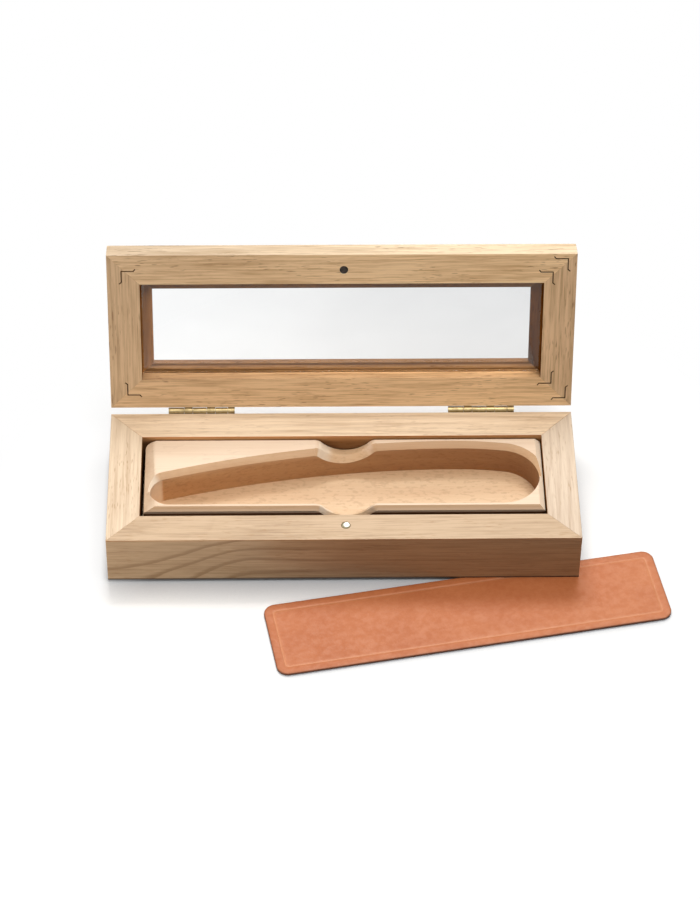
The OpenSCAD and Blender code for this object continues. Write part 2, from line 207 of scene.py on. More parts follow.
class Recipe(Nodes):
    """One material with its surface shader. Its patterns are measured in millimetres."""

    def __init__(self, name):
        self.material = bpy.data.materials.new(name)
        self.material.use_nodes = True
        super().__init__(self.material.node_tree)
        self.tree.nodes.clear()
        self.surface = self.node("ShaderNodeBsdfPrincipled")
        self.node("ShaderNodeOutputMaterial", {"Surface": self.surface.outputs[0]})

    def place(self, turn=(0, 0, 0), shift=(0, 0, 0)):
        """Object coordinates in millimetres, turned so that the grain runs along X."""
        coordinates = self.node("ShaderNodeTexCoord").outputs["Object"]
        scale = (1 / MM, 1 / MM, 1 / MM)
        values = {"Vector": coordinates, "Rotation": turn, "Location": shift, "Scale": scale}
        return self.node("ShaderNodeMapping", values).outputs[0]

    def facing(self):
        """The surface's normal, as its X, Y and Z."""
        return self.split(self.node("ShaderNodeTexCoord").outputs["Normal"])

    def upright(self, flat=0.8, steep=0.2):
        """How far the surface stands on edge: 0 on a flat top or floor, 1 on an upright wall."""
        return self.span(self.math("ABSOLUTE", self.facing()[2]), flat, steep)

    def attribute(self, name):
        return self.node("ShaderNodeAttribute", attribute_name=name).outputs["Fac"]

    def stretched(self, point, scale):
        return self.vector("MULTIPLY", point, scale)

    def noise(self, point, scale, detail=2.0, rough=0.5, output="Fac"):
        """Soft noise from 0 to 1, where scale is in waves a millimetre along each axis."""
        values = {"Vector": self.stretched(point, scale), "Scale": 1.0, "Detail": detail, "Roughness": rough}
        return self.node("ShaderNodeTexNoise", values).outputs[output]

    def reach(self, point, centre, plane):
        """Distance from a centre, measured along the axes that plane marks with 1."""
        return self.length(self.vector("MULTIPLY", self.vector("SUBTRACT", point, centre), plane))

    def tinted(self, share, colour, tint):
        """The colour, multiplied by a tint where share is 1."""
        return self.mix(share, colour, self.mix(1.0, colour, tint, "MULTIPLY"))

    def bump(self, height, distance, strength):
        values = {"Height": height, "Distance": distance, "Strength": strength}
        return self.node("ShaderNodeBump", values).outputs[0]

    def finish(self, **values):
        """Sets the surface's inputs, named with _ for a space, and gives the material."""
        for key, value in values.items():
            self.put(self.surface.inputs[key.replace("_", " ")], value)
        return self.material


# Camera, light and floor

def make_camera():
    """The photograph's view: a long lens, from above and a little from the left."""
    place = (-0.0461723, -0.9477205, 1.063293)
    focal_px = 3176.19
    frame_height_px = 899
    sensor = 36.0
    elevation = math.radians(46.78)
    yaw = math.radians(-1.76)
    roll = math.radians(0.97)
    data = bpy.data.cameras.new("camera")
    data.sensor_width = sensor
    data.lens = focal_px / frame_height_px * sensor
    data.clip_start = 0.05
    data.clip_end = 60.0
    camera = bpy.data.objects.new("camera", data)
    link(camera)
    camera.matrix_world = (
        Matrix.Translation(place)
        @ Matrix.Rotation(yaw, 4, "Z")
        @ Matrix.Rotation(math.pi / 2 - elevation, 4, "X")
        @ Matrix.Rotation(roll, 4, "Z")
    )
    bpy.context.scene.camera = camera


def area_light(name, place, size, watts, colour=(1.0, 0.99, 0.97)):
    """A rectangular lamp that points at the middle of the box."""
    middle = Vector((-0.02, 0.01, 0.03))
    data = bpy.data.lights.new(name, "AREA")
    data.shape = "RECTANGLE"
    data.size, data.size_y = size
    data.energy = watts
    data.color = colour
    light = bpy.data.objects.new(name, data)
    link(light)
    light.location = place
    light.rotation_euler = (middle - Vector(place)).to_track_quat("-Z", "Y").to_euler()


def make_lights():
    area_light("key_behind", (0.0, 0.60, 1.06), (0.6, 0.34), 8.1)
    area_light("overhead", (0.06, 0.0, 1.25), (0.9, 0.6), 6.8)
    area_light("front_above", (0.26, -0.42, 1.10), (0.6, 0.4), 4.3)
    area_light("left_corner", (-0.26, -0.20, 0.07), (0.10, 0.06), 0.34, (1.0, 0.96, 0.90))


def make_world():
    world = bpy.data.worlds.new("studio")
    world.use_nodes = True
    bpy.context.scene.world = world
    background = world.node_tree.nodes["Background"]
    kit = Nodes(world.node_tree)
    kit.put(background.inputs["Color"], (1.0, 0.995, 0.985))
    kit.put(background.inputs["Strength"], kit.only_background(0.02, 1.0))


def make_floor():
    """A white floor with soft shadows, which turns plain white further off."""
    white = (1.0, 1.0, 1.0)
    bpy.ops.mesh.primitive_plane_add(size=6.0)
    floor = bpy.context.object
    floor.name = "floor"
    material = bpy.data.materials.new("white_floor")
    material.use_nodes = True
    material.node_tree.nodes.clear()
    kit = Nodes(material.node_tree)
    # What the floor throws back onto the object is dimmer and warmer than what is seen
    tint = kit.mix(kit.only_background(0.0, 1.0), (0.22, 0.17, 0.13), white)
    # Near the box and the strip the floor takes a soft cool contact shadow, seen from behind
    lean = kit.node("ShaderNodeCombineXYZ", {"Y": 0.93, "Z": 0.37}).outputs[0]
    crowd = kit.node("ShaderNodeAmbientOcclusion", {"Distance": 14 * MM, "Normal": lean}, samples=8)
    shade = kit.mix(crowd.outputs["AO"], (0.34, 0.37, 0.42), white)
    lit = kit.node("ShaderNodeBsdfDiffuse", {"Color": kit.mix(1.0, tint, shade, "MULTIPLY")})
    # Far from the box, behind it and to its left the floor turns evenly white. This glow is seen but lights
    # nothing, and just left of the box it paints out most of the box's shadow
    place = kit.node("ShaderNodeTexCoord").outputs["Object"]
    oval = {"Vector": place, "Location": (0, 100 * MM, 0), "Scale": (1.3, 1, 1)}
    far = kit.length(kit.node("ShaderNodeMapping", oval).outputs[0])
    far = kit.span(far, 155 * MM, 270 * MM, smooth=False)
    x, y = kit.split(place)[:2]
    beside = kit.span(x, -122.5 * MM, -127.5 * MM, 0.0, 0.8, smooth=False)
    left = kit.product(beside, kit.span(y, -58 * MM, -30 * MM, smooth=False))
    share = kit.product(kit.math("MAXIMUM", far, left), kit.only_background(0.0, 1.0))
    glow = kit.node("ShaderNodeEmission")
    both = kit.node("ShaderNodeMixShader", {0: share, 1: lit.outputs[0], 2: glow.outputs[0]})
    kit.node("ShaderNodeOutputMaterial", {"Surface": both.outputs[0]})
    floor.data.materials.append(material)


# Material recipes

def grain_turn(along, on_lid):
    """The rotation that brings a rail's grain onto X, and an open lid's rail flat first."""
    return (LID_ANGLE if on_lid else 0.0, 0.0, -math.pi / 2 if along == "y" else 0.0)


def oak(
    name, turn, seed, light, dark, speck,
    ring_width=4.6, ring_share=0.34, ring_start=0.35, pith=(16.0, -46.0), rise=None, figure=None,
    speck_share=0.4, speck_patch=0.5, dash_share=0.15, contrast=1.0,
    drift=None, cap=None, side=None, side_run=None, foot=False, hollow=None, deep=None, ledge_lines=(),
):
    """Quiet oak: fine straight fibres, soft yearly rings along the grain and short dark pores in patches.

    pith is the rings' centre across the grain, rise lifts the rings at one end, and figure fades them out.
    drift, cap and side tint the length, the flat faces and the upright ones; drift is painted light along the
    rail, and side is painted shade on the upright faces.
    foot, hollow, deep and ledge_lines darken the lowest edge and the inside of a frame; foot is a painted
    shadow below a painted warm highlight on the upper edge, and hollow and deep are painted shade.
    Places, widths and heights are in millimetres, and heights are over the table.
    """
    foot_shadow = (0.06, 0.032, 0.016)
    edge_highlight = (1.08, 0.86, 0.66)
    deep_shade = (0.42, 0.38, 0.34)
    line_tint = (0.36, 0.28, 0.20)
    r = Recipe(name)
    start_of_grain = seed * GRAIN_STEP
    point = r.place(turn, (start_of_grain, 0, 0))
    wander = 5.6
    sway = r.noise(point, (0.016, 0.03, 0.03), output="Color")
    offset = r.vector("MULTIPLY", r.vector("SUBTRACT", sway, (0.5, 0.5, 0.5)), (0, wander, wander))
    along, across, up = r.split(r.vector("ADD", point, offset))

    def run(start, end, at_start=0.0, at_end=1.0, smooth=True):
        """A value that changes between two places along the rail."""
        return r.span(along, start + start_of_grain, end + start_of_grain, at_start, at_end, smooth)

    # Yearly rings, which lean a little against the rail
    lean_across, lean_up = 0.02, 0.012
    across = r.total(across, pith[0], r.product(along, lean_across))
    up = r.total(up, pith[1], r.product(along, lean_up))
    if rise:
        start, end, height = rise
        up = r.total(up, run(start, end, height, 0.0))
    radius = r.math("SQRT", r.total(r.product(across, across), r.product(up, up)))
    uneven = r.noise(point, (0.012, 0.06, 0.06), 1.0)
    phase = r.math("FRACT", r.total(r.math("DIVIDE", radius, ring_width), r.product(uneven, 1.2)))
    line = r.product(r.span(phase, ring_start, 0.92), r.span(phase, 1.0, 0.92))
    upright = r.upright()
    if figure:
        start, end = figure
        line = r.product(line, r.product(run(start, end, 1.0, 0.16), r.span(upright, 0.0, 1.0, 0.15, 1.0)))

    # Fibres, streaks and clouds
    fibre = r.noise(point, (0.040, 1.25, 1.25), 4.0, 0.62)
    streak = r.noise(point, (0.024, 0.55, 0.55))
    cloud = r.noise(point, (0.020, 0.05, 0.05))
    vessel = r.span(r.noise(point, (0.075, 1.3, 1.3)), 0.56, 0.66)
    tone = r.total(
        r.product(line, ring_share),
        r.product(vessel, 0.32 * contrast),
        r.span(fibre, 0.35, 0.65, -0.16 * contrast, 0.36 * contrast),
        r.span(streak, 0.3, 0.7, -0.08 * contrast, 0.20 * contrast),
        r.span(cloud, 0.3, 0.7, -0.12, 0.20),
    )
    colour = r.mix(tone, light, dark)

    # Pores, dense in patches and sparse between them
    patch = r.span(r.noise(point, (0.035, 0.10, 0.10), 1.0), speck_patch, speck_patch + 0.12)
    dash = r.span(r.noise(point, (0.19, 1.6, 1.6), 1.0), 0.60, 0.71)
    pores = r.product(dash, r.total(dash_share, r.product(patch, 1.0 - dash_share)))
    colour = r.mix(r.product(pores, speck_share), colour, speck)

    # Tints along the rail, on its flat faces and on its upright ones: painted light along the rail, and
    # painted shade on the upright faces
    if drift:
        start, end, deeper, lighter = drift
        colour = r.mix(1.0, colour, r.mix(run(start, end, smooth=False), deeper, lighter), "MULTIPLY")
    if cap:
        colour = r.tinted(r.rest(upright), colour, cap)
    if side:
        share = upright
        if side_run:
            start, end = side_run
            share = r.product(share, run(start, end, 0.12, 1.0))
        colour = r.tinted(share, colour, side)

    # Painted shadow along the lowest edge, and a painted warm highlight along the upper edge
    y, z = r.split(point)[1:]
    if foot:
        colour = r.mix(r.span(z, 2.8, 2.0, 0.0, 0.95), colour, foot_shadow)
        colour = r.tinted(r.product(r.span(z, 26.6, 27.1, 0.0, 0.75), upright), colour, edge_highlight)

    # The inside of the frame, duller, and painted darker as shade, more so further down
    gloss = 0.5
    if hollow:
        inside = r.attribute("hollow")
        colour = r.tinted(inside, colour, hollow)
        if deep:
            colour = r.tinted(r.product(inside, r.span(z, *deep)), colour, deep_shade)
        for line_at, half_width, strength in ledge_lines:
            stroke = r.span(r.apart(y, line_at), half_width, half_width * 0.4, 0.0, strength)
            colour = r.tinted(r.product(r.span(inside, 0.0, 0.2), stroke), colour, line_tint)
        gloss = r.span(inside, 0.0, 1.0, 0.5, 0.0)
    return r.finish(
        Base_Color=colour,
        Roughness=r.total(r.span(fibre, 0.3, 0.7, 0.42, 0.50), r.product(pores, 0.2)),
        Specular_IOR_Level=gloss,
        Normal=r.bump(r.math("SUBTRACT", r.product(fibre, 0.5), pores), 0.05 * MM, 0.4),
    )


def beech(name, light, dark, fleck, low, slope, wall, notch):
    """Close-grained beech: faint rings, even fibres and brown flecks along the grain.

    low, slope and wall are painted shade on the pocket's floor, the chamfers and the walls. notch is the
    place of the finger notches along the block. Places are in millimetres, and heights are over the table.
    """
    chamfer_highlight = (0.95, 0.80, 0.62)
    gap_shadow = (0.30, 0.22, 0.18)
    r = Recipe(name)
    point = r.place()
    x, y, z = r.split(point)
    facing_x, facing_y = r.facing()[:2]
    rings = r.noise(point, (0.006, 0.12, 0.30))
    fibre = r.noise(point, (0.03, 1.5, 1.8), 4.0, 0.6)
    cloud = r.noise(point, (0.010, 0.03, 0.03))
    tone = r.total(
        r.span(rings, 0.3, 0.7, 0.0, 0.5),
        r.span(fibre, 0.3, 0.7, -0.12, 0.24),
        r.span(cloud, 0.3, 0.7, -0.12, 0.16),
    )
    colour = r.mix(tone, light, dark)
    patch = r.span(r.noise(point, (0.03, 0.10, 0.10), 1.0), 0.46, 0.60)
    flecks = r.product(r.span(r.noise(point, (0.26, 0.75, 1.3), 1.0), 0.60, 0.70), patch)
    colour = r.mix(r.product(flecks, 0.12), colour, fleck)

    # The pocket's floor is spotted, and painted a little darker as shade
    deep = r.span(z, 24.6, 20.0)
    spots = r.span(r.noise(point, (0.36, 0.8, 0.9)), 0.52, 0.66)
    colour = r.mix(r.product(spots, deep, 0.22), colour, fleck)
    colour = r.tinted(deep, colour, low)

    # Chamfers get painted shade, except on the finger notches and where they face right; where they face
    # right they get a painted pale highlight instead
    sloped = r.upright(0.97, 0.82)
    right = r.span(facing_x, 0.30, 0.55)
    # worn marks the finger notches, which are left without the painted shade
    worn = r.product(r.span(r.apart(x, notch), 13.0, 10.5), r.upright(0.25, 0.55))
    plain = r.product(r.rest(worn), r.rest(right))
    colour = r.tinted(r.product(sloped, plain), colour, slope)
    colour = r.mix(r.product(sloped, right, 0.7), colour, chamfer_highlight)

    # The block's front gets painted light along its top and painted shadow below, and all walls get painted
    # shade that deepens to the right
    front = r.product(r.span(facing_y, -0.6, -0.9), r.span(y, -7.5, -8.2))
    lit = r.product(front, r.span(z, 22.5, 23.1))
    colour = r.mix(lit, colour, light)
    unlit = r.product(front, r.span(z, 22.9, 22.3))
    colour = r.tinted(unlit, colour, gap_shadow)
    shade = r.product(r.upright(0.55, 0.25), r.span(x, -90.0, 60.0, smooth=False), r.rest(lit))
    colour = r.tinted(shade, colour, wall)
    return r.finish(
        Base_Color=colour,
        Roughness=r.span(fibre, 0.3, 0.7, 0.42, 0.50),
        Normal=r.bump(r.math("SUBTRACT", r.product(fibre, 0.5), r.product(flecks, 0.3)), 0.03 * MM, 0.35),
    )


def tan_leather(name):
    """Smooth tanned leather: fine pores, soft clouds, a burnished edge and a creased line with a painted pale
    highlight.
    """
    tan, deep_tan = (0.515, 0.157, 0.050), (0.44, 0.117, 0.031)
    left_tint, right_tint = (0.95, 0.92, 0.82), (1.06, 1.12, 1.12)
    crease_highlight = (0.80, 0.40, 0.22)
    burnished = (0.13, 0.040, 0.016)
    r = Recipe(name)
    point = r.place((0, 0, -STRIP_TURN))
    cloud = r.noise(point, (0.03, 0.05, 0.05), 3.0)
    mottle = r.noise(point, (0.35, 0.4, 0.4), 3.0, 0.6)
    tone = r.total(r.span(cloud, 0.3, 0.7, 0.0, 0.6), r.span(mottle, 0.3, 0.7, -0.1, 0.4))
    colour = r.mix(tone, tan, deep_tan)
    drift = r.mix(r.span(r.split(point)[0], -62.0, 113.0, smooth=False), left_tint, right_tint)
    colour = r.mix(1.0, colour, drift, "MULTIPLY")
    # A painted pale highlight along the creased line
    colour = r.mix(r.product(r.attribute("crease"), 0.30), colour, crease_highlight)
    colour = r.mix(r.attribute("edge"), colour, burnished)
    cells = {"Vector": r.stretched(point, (1.9, 1.9, 1.9)), "Scale": 1.0}
    grain = r.node("ShaderNodeTexVoronoi", cells, feature="DISTANCE_TO_EDGE").outputs["Distance"]
    return r.finish(
        Base_Color=colour,
        Roughness=r.span(mottle, 0.3, 0.7, 0.46, 0.58),
        Normal=r.bump(r.span(grain, 0.0, 0.22), 0.05 * MM, 0.35),
    )


def metal(name, colour, worn, rough, direction=(0.2, 4.0, 4.0), rim=None, barrel=None):
    """Polished metal with hairline scratches and a dull bloom.

    rim is the centre and radius of a disc with a painted dark rim of shade. barrel is the centre and radius
    of a hinge's barrel, with painted shade in the crease beside it. Both are in millimetres.
    """
    rim_shade = (0.13, 0.11, 0.07)
    crease_shade = (0.045, 0.028, 0.012)
    r = Recipe(name)
    point = r.place()
    bloom = r.noise(point, (0.5, 0.5, 0.5), 3.0)
    hair = r.noise(point, direction, 3.0, 0.7)
    mixed = r.mix(r.span(bloom, 0.35, 0.7), colour, worn)
    if rim:
        centre, radius = rim
        reach = r.reach(point, centre, (1, 1, 0))
        # Painted shade round the disc's rim
        mixed = r.mix(r.span(reach, radius * 0.52, radius * 0.78), mixed, rim_shade)
    if barrel:
        centre, radius = barrel
        reach = r.reach(point, centre, (0, 1, 1))
        near = r.span(reach, radius - 0.01, radius + 0.12)
        crease = r.product(near, r.span(reach, radius + 1.5, radius + 0.5))
        # Painted shade in the crease beside the barrel
        mixed = r.mix(r.product(crease, 0.9), mixed, crease_shade)
    return r.finish(
        Base_Color=mixed,
        Metallic=1.0,
        Roughness=r.total(r.span(bloom, 0.3, 0.7, rough, rough + 0.12), r.span(hair, 0.3, 0.7, 0.0, 0.05)),
        Normal=r.bump(hair, 0.02 * MM, 0.3),
    )


def clear_glass(name):
    """Clear glass with a faint smear, painted a little greyer to the right, which stands for an uneven
    reflection across the pane.
    """
    r = Recipe(name)
    point = r.place()
    smear = r.noise(point, (0.03, 0.06, 0.06))
    grey = r.total(r.span(r.split(point)[0], -110.0, 30.0), r.span(smear, 0.3, 0.8, -0.08, 0.08))
    return r.finish(
        Base_Color=r.mix(grey, (0.955, 0.96, 0.96), (0.765, 0.77, 0.775)),
        Roughness=r.span(smear, 0.45, 0.8, 0.0, 0.03),
        IOR=1.5,
        Transmission_Weight=1.0,
    )


def dark_felt(name):
    r = Recipe(name)
    fuzz = r.noise(r.place(), (3.0, 3.0, 3.0), 3.0, 0.7)
    return r.finish(
        Base_Color=r.mix(r.span(fuzz, 0.3, 0.7), (0.045, 0.032, 0.026), (0.020, 0.014, 0.012)),
        Roughness=0.95,
        Sheen_Weight=0.4,
        Normal=r.bump(fuzz, 0.2 * MM, 0.8),
    )


# Shapes

def link(thing):
    bpy.context.scene.collection.objects.link(thing)


def plain_mesh(thing):
    """An object's mesh with its modifiers applied. The object itself is removed."""
    depsgraph = bpy.context.evaluated_depsgraph_get()
    mesh = bpy.data.meshes.new_from_object(thing.evaluated_get(depsgraph), depsgraph=depsgraph)
    bpy.data.objects.remove(thing)
    return mesh


def piece_for(node, mesh):
    """A piece with this mesh that replaces a CAD node."""
    piece = bpy.data.objects.new(node + "_piece", mesh)
    link(piece)
    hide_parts(node)
    return piece


def paint(thing, material):
    thing.data.materials.clear()
    thing.data.materials.append(material)


def dress(piece, material, body):
    paint(piece, material)
    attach(piece, body)


def edge_weights(mesh, to_box, mitre):
    """Bevel weight for each sharp edge: full on free edges, less where two rails meet on a mitre."""
    sharp = math.radians(28)
    turn = to_box.to_3x3()
    bm = bmesh.new()
    bm.from_mesh(mesh)
    layer = bm.edges.layers.float.new("bevel_weight_edge")
    for edge in bm.edges:
        if len(edge.link_faces) != 2 or edge.calc_face_angle(0) < sharp:
            continue
        edge[layer] = 1.0
        for face in edge.link_faces:
            n = turn @ face.normal
            if abs(abs(n.x) - abs(n.y)) < 0.02 and abs(n.x) > 0.6:
                edge[layer] = mitre
    bm.to_mesh(mesh)
    bm.free()


def softened(node, width, to_box=Matrix.Identity(4), mitre=0.35, merge=0.002 * MM, segments=3):
    """A copy of a CAD node with its sharp edges sanded round, as a plain mesh that replaces the node."""
    mesh = frame["nodes"][node].data.copy()
    mesh.name = node + "_soft"
    bm = bmesh.new()
    bm.from_mesh(mesh)
    bmesh.ops.remove_doubles(bm, verts=bm.verts, dist=merge)
    bmesh.ops.dissolve_degenerate(bm, edges=bm.edges, dist=merge)
    bmesh.ops.dissolve_limit(
        bm,
        angle_limit=math.radians(0.6),
        use_dissolve_boundaries=False,
        verts=bm.verts,
        edges=bm.edges,
    )
    bmesh.ops.recalc_face_normals(bm, faces=bm.faces)
    bm.to_mesh(mesh)
    bm.free()
    mesh.shade_smooth()
    edge_weights(mesh, to_box, mitre)
    sharp_edged = bpy.data.objects.new(node + "_raw", mesh)
    link(sharp_edged)
    bevel = sharp_edged.modifiers.new("round", "BEVEL")
    bevel.limit_method = "WEIGHT"
    bevel.width = width
    bevel.segments = segments
    bevel.use_clamp_overlap = True
    bevel.harden_normals = False
    normals = sharp_edged.modifiers.new("normals", "WEIGHTED_NORMAL")
    normals.keep_sharp = True
    normals.weight = 60
    final = plain_mesh(sharp_edged)
    # The bevel can leave faces with no area
    bm = bmesh.new()
    bm.from_mesh(final)
    bmesh.ops.dissolve_degenerate(bm, edges=bm.edges, dist=0.001 * MM)
    bm.to_mesh(final)
    bm.free()
    return piece_for(node, final)


def rounded_outline(half_x, half_y, radius, per_long=88, per_short=18, per_corner=8):
    """Points around a rectangle with round corners, always the same number in the same order."""
    corners = [(1, 1, 0), (-1, 1, 90), (-1, -1, 180), (1, -1, 270)]
    runs = [per_long, per_short, per_long, per_short]

    def on_corner(side_x, side_y, angle):
        a = math.radians(angle)
        x = side_x * (half_x - radius) + radius * math.cos(a)
        y = side_y * (half_y - radius) + radius * math.sin(a)
        return Vector((x, y))

    points = []
    for i, (side_x, side_y, start) in enumerate(corners):
        points += [on_corner(side_x, side_y, start + 90 * k / per_corner) for k in range(per_corner + 1)]
        corner_end = points[-1]
        next_start = on_corner(*corners[(i + 1) % 4])
        points += [corner_end.lerp(next_start, k / runs[i]) for k in range(1, runs[i])]
    return points


def strip_profile():
    """The strip's rings from its underside, round its burnished edge and over the crease, to its middle.

    Each is an inset from the outline, a height, a share of the dark edge and a share of the crease.
    """
    edge_round = 0.45 * MM
    arc_steps = 4
    rings = [(2.0 * MM, 0.0, 1, 0), (edge_round, 0.0, 1, 0)]
    for k in range(1, arc_steps + 1):
        a = math.pi / 2 * k / arc_steps
        rings.append((edge_round * (1 - math.sin(a)), edge_round * (1 - math.cos(a)), 1, 0))
    for k in range(arc_steps + 1):
        a = math.pi / 2 * k / arc_steps
        height = STRIP_THICK - edge_round * (1 - math.sin(a))
        rings.append((edge_round * (1 - math.cos(a)), height, 1 - 0.2 * k, 0))
    rings.append((1.2 * MM, STRIP_THICK, 0.05, 0))
    rings.append((2.4 * MM, STRIP_THICK, 0, 0))
    for offset, depth, share in CREASE_SHAPE:
        rings.append((CREASE_INSET + offset * MM, STRIP_THICK - CREASE_DEPTH * depth, 0, share))
    # The last ring ends just short of the middle line
    inner_steps = 9
    start = CREASE_INSET + 1.4 * MM
    end = STRIP_WIDTH / 2 - 0.02 * MM
    for k in range(inner_steps + 1):
        rings.append((start + (end - start) * k / inner_steps, STRIP_THICK, 0, 0))
    return rings


def leather_strip():
    """The strip, with its rings joined face by face from the underside to the middle of the top."""
    low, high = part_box("leather_strip")
    middle = (low + high) / 2
    half_x, half_y = STRIP_LENGTH / 2, STRIP_WIDTH / 2
    bm = bmesh.new()
    edge_layer = bm.verts.layers.float.new("edge")
    crease_layer = bm.verts.layers.float.new("crease")
    loops = []
    for inset, height, edge, crease in strip_profile():
        radius = max(STRIP_CORNER - inset, min(1.6 * MM, half_y - inset))
        loop = []
        for p in rounded_outline(half_x - inset, half_y - inset, radius):
            v = bm.verts.new((p.x, p.y, height))
            v[edge_layer] = edge
            v[crease_layer] = crease
            loop.append(v)
        loops.append(loop)
    bm.faces.new(list(reversed(loops[0])))
    for a, b in zip(loops, loops[1:]):
        for i in range(len(a)):
            j = (i + 1) % len(a)
            bm.faces.new((a[i], a[j], b[j], b[i]))
    bm.faces.new(loops[-1])
    # The two long sides of the innermost ring close on the middle line
    bmesh.ops.remove_doubles(bm, verts=bm.verts, dist=0.06 * MM)
    bmesh.ops.recalc_face_normals(bm, faces=bm.faces)
    bm.transform(Matrix.Translation((middle.x, middle.y, low.z)) @ Matrix.Rotation(STRIP_TURN, 4, "Z"))
    mesh = bpy.data.meshes.new("leather_strip_piece")
    bm.to_mesh(mesh)
    bm.free()
    mesh.shade_smooth()
    return piece_for("leather_strip", mesh)


def slotted_screw_tree():
    """Countersunk screws with a slot, one on each point of the mesh that comes in."""
    tree = bpy.data.node_groups.new("slotted_screws", "GeometryNodeTree")
    face = tree.interface
    face.new_socket("Geometry", in_out="OUTPUT", socket_type="NodeSocketGeometry")
    face.new_socket("Places", in_out="INPUT", socket_type="NodeSocketGeometry")
    for name in (*SCREW_SIZES, "Lean"):
        face.new_socket(name, in_out="INPUT", socket_type="NodeSocketFloat")
    face.new_socket("Seed", in_out="INPUT", socket_type="NodeSocketInt")
    face.new_socket("Finish", in_out="INPUT", socket_type="NodeSocketMaterial")
    kit = Nodes(tree)
    given = kit.node("NodeGroupInput").outputs
    sides = 48
    slot_turn = 0.6

    def tapered(bottom, top, depth):
        values = {"Vertices": sides, "Radius Top": top, "Radius Bottom": bottom, "Depth": depth}
        return kit.node("GeometryNodeMeshCone", values).outputs["Mesh"]

    def at_height(geometry, z):
        place = kit.node("ShaderNodeCombineXYZ", {"Z": z}).outputs[0]
        return kit.node("GeometryNodeTransform", {"Geometry": geometry, "Translation": place}).outputs[0]

    # The head's flat face lies at height 0, and the shank runs up from it
    tip = kit.product(given["Shank Radius"], 1.6)
    body = kit.math("SUBTRACT", given["Length"], tip)
    head = tapered(given["Head Radius"], given["Shank Radius"], given["Head Height"])
    round_bar = {"Vertices": sides, "Radius": given["Shank Radius"], "Depth": body}
    shank = kit.node("GeometryNodeMeshCylinder", round_bar).outputs["Mesh"]
    shank = at_height(shank, kit.total(kit.product(body, 0.5), 0.3 * MM))
    point = at_height(tapered(given["Shank Radius"], 0.2 * MM, tip), body)
    round_ball = {"Segments": sides, "Rings": 16, "Radius": given["Head Radius"]}
    ball = kit.node("GeometryNodeMeshUVSphere", round_ball)
    dome = kit.node(
        "GeometryNodeTransform",
        {"Geometry": ball.outputs["Mesh"], "Scale": (0.9, 0.9, 0.09), "Translation": (0, 0, 0.03 * MM)},
    ).outputs[0]
    whole = kit.node("GeometryNodeMeshBoolean", operation="UNION", solver="EXACT")
    for part in (head, shank, point, dome):
        tree.links.new(part, whole.inputs["Mesh 2"])
    slot_length = kit.product(given["Head Radius"], 3.0)
    slot_height = kit.product(given["Slot Depth"], 2.0)
    size = kit.node("ShaderNodeCombineXYZ", {"X": slot_length, "Y": given["Slot Width"], "Z": slot_height})
    slot = kit.node("GeometryNodeMeshCube", {"Size": size.outputs[0]})
    screw = kit.node(
        "GeometryNodeMeshBoolean",
        {"Mesh 1": whole.outputs["Mesh"], "Mesh 2": slot.outputs["Mesh"]},
        operation="DIFFERENCE",
        solver="EXACT",
    )

    # One screw on each point, driven in towards the front, with its slot at an angle of its own
    aim = kit.node("ShaderNodeCombineXYZ", {"X": kit.total(math.pi / 2, given["Lean"])})
    spread = kit.node(
        "GeometryNodeInstanceOnPoints",
        {"Points": given["Places"], "Instance": screw.outputs["Mesh"], "Rotation": aim.outputs[0]},
    )
    between = {2: -slot_turn, 3: slot_turn, "Seed": given["Seed"]}
    chance = kit.node("FunctionNodeRandomValue", between, data_type="FLOAT")
    twist = kit.node("ShaderNodeCombineXYZ", {"Z": chance.outputs[1]})
    turned = kit.node(
        "GeometryNodeRotateInstances",
        {"Instances": spread.outputs[0], "Rotation": twist.outputs[0], "Local Space": True},
    )
    real = kit.node("GeometryNodeRealizeInstances", {"Geometry": turned.outputs[0]})
    clean = kit.node("GeometryNodeMergeByDistance", {"Geometry": real.outputs[0], "Distance": 0.002 * MM})
    done = kit.node("GeometryNodeSetMaterial", {"Geometry": clean.outputs[0], "Material": given["Finish"]})
    kit.node("NodeGroupOutput", {"Geometry": done.outputs[0]})
    return tree


def set_input(modifier, name, value):
    """Sets an input of a modifier's tree by its socket's identifier."""
    sockets = modifier.node_group.interface.items_tree
    socket = next(s for s in sockets if s.in_out == "INPUT" and s.name == name)
    modifier[socket.identifier] = value


def hinge_screws(node, tree, material, heads, lean, seed):
    """The four screws of one row of hinge leaves, as a plain mesh that replaces the node."""
    mesh = bpy.data.meshes.new(node + "_places")
    mesh.from_pydata(heads, [], [])
    places = bpy.data.objects.new(node + "_places", mesh)
    link(places)
    modifier = places.modifiers.new("screws", "NODES")
    modifier.node_group = tree
    for name, value in SCREW_SIZES.items():
        set_input(modifier, name, value * MM)
    set_input(modifier, "Lean", lean)
    set_input(modifier, "Seed", seed)
    set_input(modifier, "Finish", material)
    final = plain_mesh(places)
    final.shade_smooth()
    final.set_sharp_from_angle(angle=math.radians(35))
    return piece_for(node, final)


# The object

def mark_hollow(piece, to_box, wall_share):
    """Marks the faces inside the opening of a frame of rails, its walls and the lid's glass rebate, for the
    painted shade and duller finish there.
    """
    low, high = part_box("base_rail_front")[0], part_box("base_rail_back")[1]
    # A little less than a rail's width, so that the walls count as inside
    rail = (RAIL_WIDTH - 0.1) * MM
    glass_z = AXIS.z + 5.0 * MM
    layer = piece.data.attributes.new("hollow", "FLOAT", "FACE")
    for face in piece.data.polygons:
        p = to_box @ face.center
        inside = low.x + rail < p.x < high.x - rail and low.y + rail < p.y < high.y - rail
        is_wall = abs((to_box.to_3x3() @ face.normal).z) < 0.9 and p.z < glass_z
        layer.data[face.index].value = (wall_share if is_wall else 1.0) if inside else 0.0


